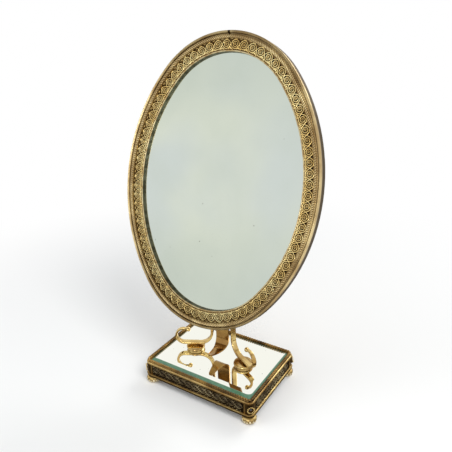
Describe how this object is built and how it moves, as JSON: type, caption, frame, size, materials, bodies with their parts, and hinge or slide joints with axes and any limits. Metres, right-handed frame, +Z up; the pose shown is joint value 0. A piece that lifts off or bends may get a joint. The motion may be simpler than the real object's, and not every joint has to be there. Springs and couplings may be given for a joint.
{
  "type": "tilting table mirror",
  "caption": "Oval mirror in a pierced dished frame, tilting on a friction hinge above a scroll-legged stand and a small rectangular mirrored plateau on low feet.",
  "frame": {"origin": "on the floor under the middle of the base, with the mirror at its rest tilt", "axes": "+X to the right seen from the front, +Y to the back, +Z up"},
  "size_m": [0.2874, 0.1302, 0.4793],
  "materials": {
    "gilt_brass": "polished gilt brass, a little worn",
    "rope_gilt": "hatched gilt brass",
    "filigree_gilt": "pierced gilt brass, dark in the hollows",
    "antique_filigree": "pierced brass, blackened with age",
    "pale_gilt": "pale gilt brass",
    "mirror_silver": "silvered mirror glass, lightly mottled",
    "plate_glass": "thick bevelled mirror glass",
    "jewel": "polished half ball",
    "core_wood": "plain wood stained dark",
    "felt": "dark felt",
    "board": "brown backing board",
    "back_sheet": "brushed brass sheet",
    "steel": "plain steel",
    "leather_washer": "hard leather"
  },
  "bodies": {
    "stand": {"base_bottom_moulding": "gilt_brass", "base_core": "core_wood", "base_floor_plate": "back_sheet", "base_glass": "plate_glass", "base_rope": "rope_gilt", "base_top_rim": "gilt_brass", "boss_left": "gilt_brass", "boss_right": "gilt_brass", "centre_strap": "gilt_brass", "collar_rivets": "gilt_brass", "corner_jewels": "jewel", "corner_post_front_left": "antique_filigree", "corner_post_front_right": "antique_filigree", "corner_post_rear_left": "antique_filigree", "corner_post_rear_right": "antique_filigree", "corner_rosettes": "antique_filigree", "foot_front_left": "pale_gilt", "foot_front_right": "pale_gilt", "foot_rear_left": "pale_gilt", "foot_rear_right": "pale_gilt", "foot_screws": "steel", "friction_washers": "leather_washer", "gallery_front": "antique_filigree", "gallery_left": "antique_filigree", "gallery_rear": "antique_filigree", "gallery_right": "antique_filigree", "glass_bed": "felt", "leg_nuts": "steel", "leg_studs": "steel", "leg_washers": "steel", "scroll_ball_left": "gilt_brass", "scroll_ball_right": "gilt_brass", "scroll_leg_left": "gilt_brass", "scroll_leg_right": "gilt_brass", "stem_collar": "gilt_brass"},
    "mirror_head": {"rim_frame": "gilt_brass", "rope_ring": "rope_gilt", "filigree_band": "filigree_gilt", "inner_bezel": "gilt_brass", "mirror_glass": "mirror_silver", "backing_board": "board", "back_plate": "back_sheet", "retaining_tabs": "gilt_brass", "hinge_bracket": "gilt_brass", "bracket_rivets": "gilt_brass", "hinge_bolt": "steel"},
    "thumb_nut": {"thumb_nut": "gilt_brass"}
  },
  "joints": [
    {"name": "mirror_tilt", "type": "hinge", "parent": "stand", "child": "mirror_head", "pos_m": [0, 0.01, 0.2511], "axis": [-1, 0, 0], "range_deg": [-15, 30]},
    {"name": "thumb_nut_turn", "type": "hinge", "parent": "mirror_head", "child": "thumb_nut", "pos_m": [0, 0.01, 0.2511], "axis": [1, 0, 0], "range_deg": [-180, 180]}
  ]
}
